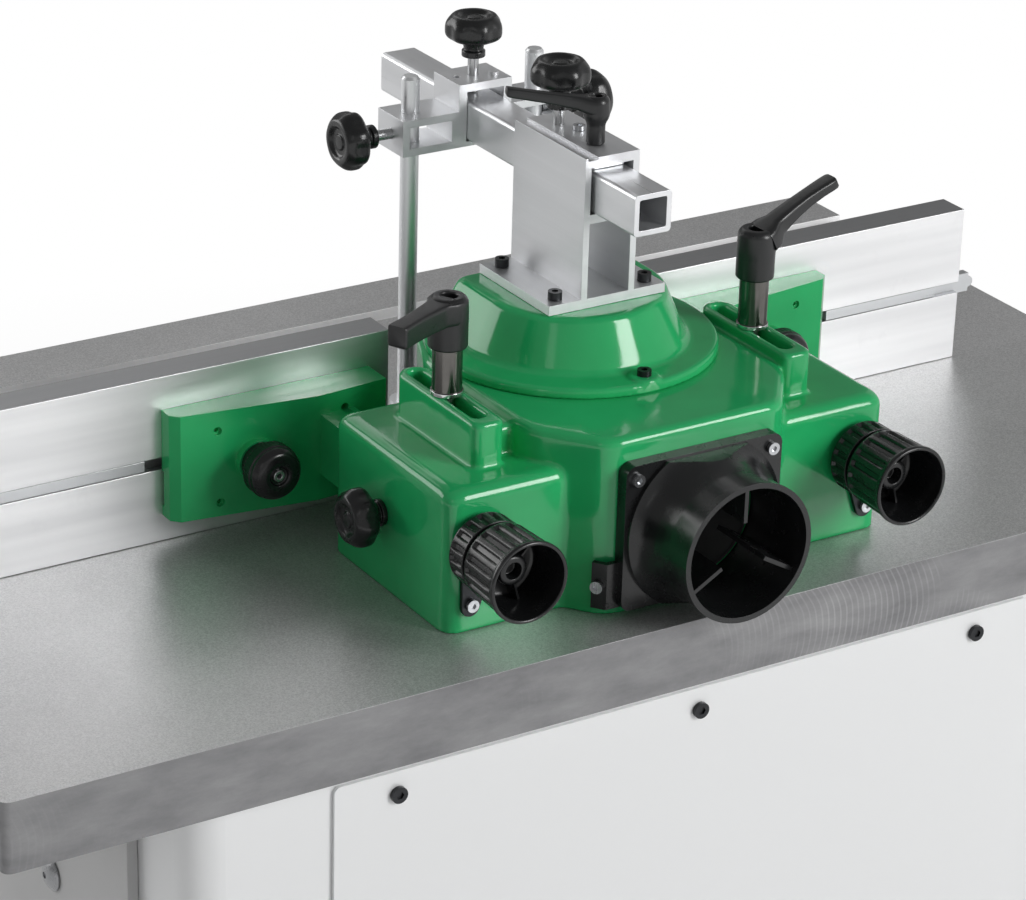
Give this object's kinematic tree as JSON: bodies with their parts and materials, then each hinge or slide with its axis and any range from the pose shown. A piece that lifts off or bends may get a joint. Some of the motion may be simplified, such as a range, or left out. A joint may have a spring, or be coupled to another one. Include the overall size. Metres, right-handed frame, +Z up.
{
  "type": "spindle moulder",
  "caption": "Spindle moulder with sliding fence housing, micro-adjusted fences, hold-down clamps, dust outlet, cast table and steel cabinet stand.",
  "frame": {"origin": "on the floor under the spindle axis", "axes": "+Z up along the spindle axis, +Y towards the operator, the dust outlet points to -Y"},
  "size_m": [1.064, 0.7133, 1.191],
  "materials": {
    "cast_iron_table": "milled",
    "steel_rings": "turned",
    "cabinet_paint": "satin powder coat",
    "plinth_paint": "satin powder coat",
    "bright_screw": "zinc plated",
    "dark_screw": "black oxide",
    "green_paint": "gloss",
    "dark_casting": "as cast",
    "ground_steel": "ground",
    "motor_paint": "satin",
    "belt_rubber": "matt",
    "switch_plastic": "fine grain",
    "start_plastic": "gloss",
    "stop_plastic": "gloss",
    "black_plastic": "semi-gloss moulded",
    "extrusion": "anodised",
    "rod_steel": "bright drawn",
    "wheel_plastic": "satin"
  },
  "bodies": {
    "stand": {"table": "cast_iron_table", "table_rings": "steel_rings", "cabinet": "cabinet_paint", "base_plinth": "plinth_paint", "rear_cover": "cabinet_paint", "rear_cover_screws": "bright_screw", "switch_box": "switch_plastic", "arbor_bracket": "dark_casting", "clamp_studs": "ground_steel", "clamp_sleeves": "dark_screw"},
    "door": {"side_door": "cabinet_paint"},
    "latch": {"door_latch": "bright_screw"},
    "start": {"start_button": "start_plastic"},
    "stop": {"stop_button": "stop_plastic"},
    "quill_unit": {"quill": "dark_casting", "bearings": "ground_steel", "motor": "motor_paint", "drive_belt": "belt_rubber"},
    "spindle_unit": {"spindle": "ground_steel", "spacer_rings": "ground_steel", "spindle_nut": "ground_steel", "spindle_pulley": "dark_casting"},
    "rotor": {"motor_pulley": "dark_casting"},
    "lift": {"lift_screw": "ground_steel"},
    "wheel": {"handwheel": "wheel_plastic", "handwheel_shaft": "ground_steel"},
    "grip": {"handwheel_grip": "black_plastic"},
    "housing": {"fence_housing": "green_paint", "cap": "green_paint", "socket_screws": "dark_screw", "dust_outlet": "black_plastic", "housing_screws": "bright_screw", "holddown_bracket": "extrusion", "pressure_plate": "ground_steel", "micro_flanges": "black_plastic"},
    "carrier_l": {"carrier_left": "green_paint", "t_bolt_left": "ground_steel"},
    "carrier_r": {"carrier_right": "green_paint", "t_bolt_right": "ground_steel"},
    "fence_l": {"fence_left": "extrusion", "fence_strip_left": "extrusion"},
    "fence_r": {"fence_right": "extrusion", "fence_strip_right": "extrusion"},
    "plate_knob_l": {"plate_knob_left": "black_plastic"},
    "plate_knob_r": {"plate_knob_right": "black_plastic"},
    "micro_l": {"micro_knob_left": "black_plastic"},
    "micro_r": {"micro_knob_right": "black_plastic"},
    "side_knob_l": {"side_knob_left": "black_plastic"},
    "side_knob_r": {"side_knob_right": "black_plastic"},
    "arm": {"beam": "extrusion"},
    "arm_lever": {"bracket_lever": "black_plastic"},
    "arm_knob": {"bracket_star": "black_plastic"},
    "clamp": {"cross_clamp": "extrusion"},
    "clamp_knob": {"clamp_star_top": "black_plastic"},
    "rod_knob_l": {"side_star_left": "black_plastic"},
    "rod_knob_r": {"side_star_right": "black_plastic"},
    "rod_l": {"rod_left": "rod_steel"},
    "rod_r": {"rod_right": "rod_steel"},
    "lock_lever_l": {"lever_left": "black_plastic"},
    "lock_lever_r": {"lever_right": "black_plastic"}
  },
  "joints": [
    {"name": "door_swing", "type": "hinge", "parent": "stand", "child": "door", "pos_m": [-0.4043, 0.333, 0.47], "axis": [0, 0, 1], "range_deg": [-100, 0]},
    {"name": "latch_turn", "type": "hinge", "parent": "door", "child": "latch", "pos_m": [-0.4, 0.02, 0.66], "axis": [-1, 0, 0], "range_deg": [0, 90]},
    {"name": "start_press", "type": "slide", "parent": "stand", "child": "start", "axis": [0, -1, 0], "range_m": [0, 0.004], "stiffness_N_per_m": 400, "springref_m": -0.002},
    {"name": "stop_press", "type": "slide", "parent": "stand", "child": "stop", "axis": [0, -1, 0], "range_m": [0, 0.004], "stiffness_N_per_m": 400, "springref_m": -0.002},
    {"name": "spindle_lift", "type": "slide", "parent": "stand", "child": "quill_unit", "axis": [0, 0, 1], "range_m": [-0.06, 0.02]},
    {"name": "spindle_spin", "type": "hinge", "parent": "quill_unit", "child": "spindle_unit", "pos_m": [0, 0, 0.86], "axis": [0, 0, 1], "continuous": true},
    {"name": "motor_spin", "type": "hinge", "parent": "quill_unit", "child": "rotor", "pos_m": [0.185, 0, 0.46], "axis": [0, 0, 1], "continuous": true},
    {"name": "lift_turn", "type": "hinge", "parent": "stand", "child": "lift", "pos_m": [-0.1, 0, 0.56], "axis": [0, 0, 1], "range_deg": [-4325, 1445]},
    {"name": "wheel_turn", "type": "hinge", "parent": "stand", "child": "wheel", "pos_m": [-0.1, 0.4, 0.39], "axis": [0, 1, 0], "range_deg": [-1445, 4325]},
    {"name": "grip_spin", "type": "hinge", "parent": "wheel", "child": "grip", "pos_m": [-0.015, 0.44, 0.39], "axis": [0, 1, 0], "continuous": true},
    {"name": "housing_shift", "type": "slide", "parent": "stand", "child": "housing", "axis": [0, 1, 0], "range_m": [-0.038, 0.038]},
    {"name": "carrier_l_adjust", "type": "slide", "parent": "housing", "child": "carrier_l", "axis": [0, 1, 0], "range_m": [-0.02, 0.012]},
    {"name": "fence_l_slide", "type": "slide", "parent": "carrier_l", "child": "fence_l", "axis": [1, 0, 0], "range_m": [-0.05, 0.05]},
    {"name": "plate_knob_l_turn", "type": "hinge", "parent": "carrier_l", "child": "plate_knob_l", "pos_m": [-0.218, 0.04, 0.92], "axis": [0, 1, 0], "range_deg": [0, 270]},
    {"name": "micro_l_turn", "type": "hinge", "parent": "housing", "child": "micro_l", "pos_m": [-0.1564, -0.17, 0.9232], "axis": [0, 1, 0], "range_deg": [-3605, 2165]},
    {"name": "side_knob_l_turn", "type": "hinge", "parent": "housing", "child": "side_knob_l", "pos_m": [-0.2, -0.047, 0.916], "axis": [1, 0, 0], "range_deg": [0, 270]},
    {"name": "carrier_r_adjust", "type": "slide", "parent": "housing", "child": "carrier_r", "axis": [0, 1, 0], "range_m": [-0.02, 0.012]},
    {"name": "fence_r_slide", "type": "slide", "parent": "carrier_r", "child": "fence_r", "axis": [1, 0, 0], "range_m": [-0.05, 0.05]},
    {"name": "plate_knob_r_turn", "type": "hinge", "parent": "carrier_r", "child": "plate_knob_r", "pos_m": [0.218, 0.04, 0.92], "axis": [0, 1, 0], "range_deg": [0, 270]},
    {"name": "micro_r_turn", "type": "hinge", "parent": "housing", "child": "micro_r", "pos_m": [0.1564, -0.17, 0.9232], "axis": [0, 1, 0], "range_deg": [-3605, 2165]},
    {"name": "side_knob_r_turn", "type": "hinge", "parent": "housing", "child": "side_knob_r", "pos_m": [0.2, -0.047, 0.916], "axis": [1, 0, 0], "range_deg": [0, 270]},
    {"name": "arm_slide", "type": "slide", "parent": "housing", "child": "arm", "axis": [0, 1, 0], "range_m": [-0.012, 0.06]},
    {"name": "arm_lever_turn", "type": "hinge", "parent": "housing", "child": "arm_lever", "pos_m": [0.001, -0.021, 1.16], "axis": [0, 0, 1], "range_deg": [-12, 240]},
    {"name": "arm_knob_turn", "type": "hinge", "parent": "housing", "child": "arm_knob", "pos_m": [0.001, 0.026, 1.18], "axis": [0, 0, 1], "range_deg": [0, 270]},
    {"name": "clamp_slide", "type": "slide", "parent": "arm", "child": "clamp", "axis": [0, 1, 0], "range_m": [-0.008, 0.08]},
    {"name": "clamp_knob_turn", "type": "hinge", "parent": "clamp", "child": "clamp_knob", "pos_m": [0, 0.14, 1.18], "axis": [0, 0, 1], "range_deg": [0, 270]},
    {"name": "rod_knob_l_turn", "type": "hinge", "parent": "clamp", "child": "rod_knob_l", "pos_m": [-0.1, 0.14, 1.112], "axis": [1, 0, 0], "range_deg": [0, 270]},
    {"name": "rod_l_slide", "type": "slide", "parent": "clamp", "child": "rod_l", "axis": [0, 0, 1], "range_m": [-0.028, 0.06]},
    {"name": "rod_knob_r_turn", "type": "hinge", "parent": "clamp", "child": "rod_knob_r", "pos_m": [0.1, 0.14, 1.112], "axis": [1, 0, 0], "range_deg": [0, 270]},
    {"name": "rod_r_slide", "type": "slide", "parent": "clamp", "child": "rod_r", "axis": [0, 0, 1], "range_m": [-0.028, 0.06]},
    {"name": "lock_lever_l_turn", "type": "hinge", "parent": "stand", "child": "lock_lever_l", "pos_m": [-0.133, -0.052, 1.05], "axis": [0, 0, 1], "range_deg": [-90, 90]},
    {"name": "lock_lever_r_turn", "type": "hinge", "parent": "stand", "child": "lock_lever_r", "pos_m": [0.12, -0.052, 1.05], "axis": [0, 0, 1], "range_deg": [-90, 90]}
  ],
  "couplings": [
    {"joint": "motor_spin", "follows": "spindle_spin", "ratio": 1},
    {"joint": "lift_turn", "follows": "spindle_lift", "rad_per_m": 1256.6},
    {"joint": "wheel_turn", "follows": "spindle_lift", "rad_per_m": -1256.6},
    {"joint": "micro_l_turn", "follows": "carrier_l_adjust", "rad_per_m": 3141.6},
    {"joint": "micro_r_turn", "follows": "carrier_r_adjust", "rad_per_m": 3141.6}
  ]
}
